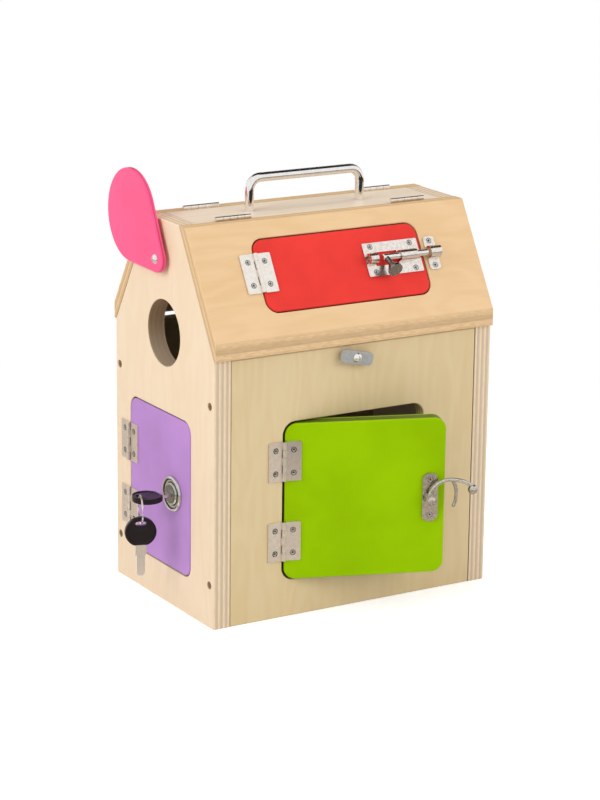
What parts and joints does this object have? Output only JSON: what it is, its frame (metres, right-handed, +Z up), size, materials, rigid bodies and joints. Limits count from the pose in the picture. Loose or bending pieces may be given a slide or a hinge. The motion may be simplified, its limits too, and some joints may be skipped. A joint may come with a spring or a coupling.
{
  "type": "lock and latch activity house",
  "caption": "Gabled plywood box with a carry handle, hinged roof lids and painted doors, each closed by a different bolt, hook, cam lock or turn button.",
  "frame": {"origin": "middle of the rectangle that the house stands on, at the level of the floor", "axes": "+X to the right along the front, +Y from the front to the back, +Z up"},
  "size_m": [0.2832, 0.2189, 0.3248],
  "materials": {
    "birch_ply": "clear satin varnish",
    "green_paint": "gloss paint",
    "purple_paint": "gloss paint",
    "red_paint": "gloss paint",
    "pink_paint": "gloss paint",
    "button_grey": "satin",
    "chrome_plate": "polished",
    "zinc_steel": "satin",
    "nickel_steel": "satin",
    "black_plastic": "gloss",
    "dark_screw": "matt"
  },
  "bodies": {
    "house": {"left_gable": "birch_ply", "right_gable": "birch_ply", "front_panel": "birch_ply", "back_panel": "birch_ply", "base_panel": "birch_ply", "top_board": "birch_ply", "green_door_hinge_fixed_leaves": "zinc_steel", "green_door_hinge_pins": "zinc_steel", "purple_door_hinge_fixed_leaves": "zinc_steel", "purple_door_hinge_pins": "zinc_steel", "front_lid_hinge_fixed_leaves": "zinc_steel", "front_lid_hinge_pins": "zinc_steel", "back_lid_hinge_fixed_leaves": "zinc_steel", "back_lid_hinge_pins": "zinc_steel", "house_hinge_screws": "zinc_steel", "gable_screws": "dark_screw", "carry_handle": "chrome_plate", "handle_bolts": "chrome_plate", "cover_washer": "chrome_plate", "cover_screw": "chrome_plate", "button_spacers": "chrome_plate", "button_screws": "chrome_plate", "catch_stud": "chrome_plate"},
    "front_lid": {"front_lid": "birch_ply", "front_lid_hinge_moving_leaves": "zinc_steel", "front_lid_screws": "zinc_steel", "red_door_hinge_fixed_leaves": "zinc_steel", "red_door_hinge_pins": "zinc_steel", "bolt_keeper": "chrome_plate"},
    "back_lid": {"back_lid": "birch_ply", "back_lid_hinge_moving_leaves": "zinc_steel", "back_lid_screws": "zinc_steel"},
    "red_door": {"red_door": "red_paint", "red_door_hinge_moving_leaves": "zinc_steel", "red_door_screws": "zinc_steel", "bolt_housing": "chrome_plate"},
    "bolt_rod": {"bolt_rod": "chrome_plate"},
    "bolt_knob": {"bolt_knob": "chrome_plate"},
    "green_door": {"green_door": "green_paint", "green_door_hinge_moving_leaves": "zinc_steel", "green_door_screws": "zinc_steel", "latch_plate": "chrome_plate", "latch_rivet": "chrome_plate"},
    "latch_arm": {"latch_arm": "chrome_plate"},
    "purple_door": {"purple_door": "purple_paint", "purple_door_hinge_moving_leaves": "zinc_steel", "purple_door_screws": "zinc_steel", "lock_housing": "chrome_plate", "lock_nut": "nickel_steel"},
    "lock_plug": {"lock_plug": "nickel_steel", "lock_cam": "nickel_steel", "cam_screw": "nickel_steel"},
    "key_1": {"key_1_blade": "nickel_steel", "key_1_head": "black_plastic"},
    "key_ring": {"key_ring": "nickel_steel"},
    "key_2": {"key_2_blade": "nickel_steel", "key_2_head": "black_plastic"},
    "hole_cover": {"hole_cover": "pink_paint"},
    "front_turn_button": {"front_turn_button": "button_grey"},
    "back_turn_button": {"back_turn_button": "button_grey"}
  },
  "joints": [
    {"name": "front_lid_swing", "type": "hinge", "parent": "house", "child": "front_lid", "pos_m": [0, -0.024, 0.2945], "axis": [-1, 0, 0], "range_deg": [0, 115]},
    {"name": "back_lid_swing", "type": "hinge", "parent": "house", "child": "back_lid", "pos_m": [0, 0.024, 0.2945], "axis": [1, 0, 0], "range_deg": [0, 115]},
    {"name": "red_door_swing", "type": "hinge", "parent": "front_lid", "child": "red_door", "pos_m": [-0.07105, -0.05573, 0.25906], "axis": [0, -0.5063, -0.8624], "range_deg": [0, 110]},
    {"name": "bolt_slide", "type": "slide", "parent": "red_door", "child": "bolt_rod", "axis": [1, 0, 0], "range_m": [-0.005, 0.009]},
    {"name": "bolt_knob_turn", "type": "hinge", "parent": "bolt_rod", "child": "bolt_knob", "pos_m": [0.0363, -0.05754, 0.26012], "axis": [-1, 0, 0], "range_deg": [0, 115]},
    {"name": "green_door_swing", "type": "hinge", "parent": "house", "child": "green_door", "pos_m": [-0.06155, -0.0779, 0.09], "axis": [0, 0, -1], "range_deg": [-20, 150]},
    {"name": "latch_swing", "type": "hinge", "parent": "green_door", "child": "latch_arm", "pos_m": [0.0406, -0.11944, 0.0873], "axis": [-0.342, -0.9397, 0], "range_deg": [-30, 60]},
    {"name": "purple_door_swing", "type": "hinge", "parent": "house", "child": "purple_door", "pos_m": [-0.1219, 0.05305, 0.09], "axis": [0, 0, -1], "range_deg": [0, 110]},
    {"name": "lock_turn", "type": "hinge", "parent": "purple_door", "child": "lock_plug", "pos_m": [-0.12, -0.01495, 0.0884], "axis": [1, 0, 0], "range_deg": [0, 90]},
    {"name": "key_pull", "type": "slide", "parent": "lock_plug", "child": "key_1", "axis": [-1, 0, 0], "range_m": [0, 0.022]},
    {"name": "ring_swing", "type": "hinge", "parent": "key_1", "child": "key_ring", "pos_m": [-0.1483, -0.01335, 0.0884], "axis": [-0.309, -0.9511, 0], "range_deg": [-6, 6]},
    {"name": "key_2_swing", "type": "hinge", "parent": "key_ring", "child": "key_2", "pos_m": [-0.15089, -0.02133, 0.0724], "axis": [-0.309, -0.9511, 0], "range_deg": [-12, 12]},
    {"name": "hole_cover_swing", "type": "hinge", "parent": "house", "child": "hole_cover", "pos_m": [-0.12, 0, 0.2643], "axis": [-1, 0, 0], "continuous": true},
    {"name": "front_turn_button_turn", "type": "hinge", "parent": "house", "child": "front_turn_button", "pos_m": [-0.0025, -0.076, 0.1932], "axis": [0, -1, 0], "continuous": true},
    {"name": "back_turn_button_turn", "type": "hinge", "parent": "house", "child": "back_turn_button", "pos_m": [0.0025, 0.076, 0.1932], "axis": [0, 1, 0], "continuous": true}
  ]
}
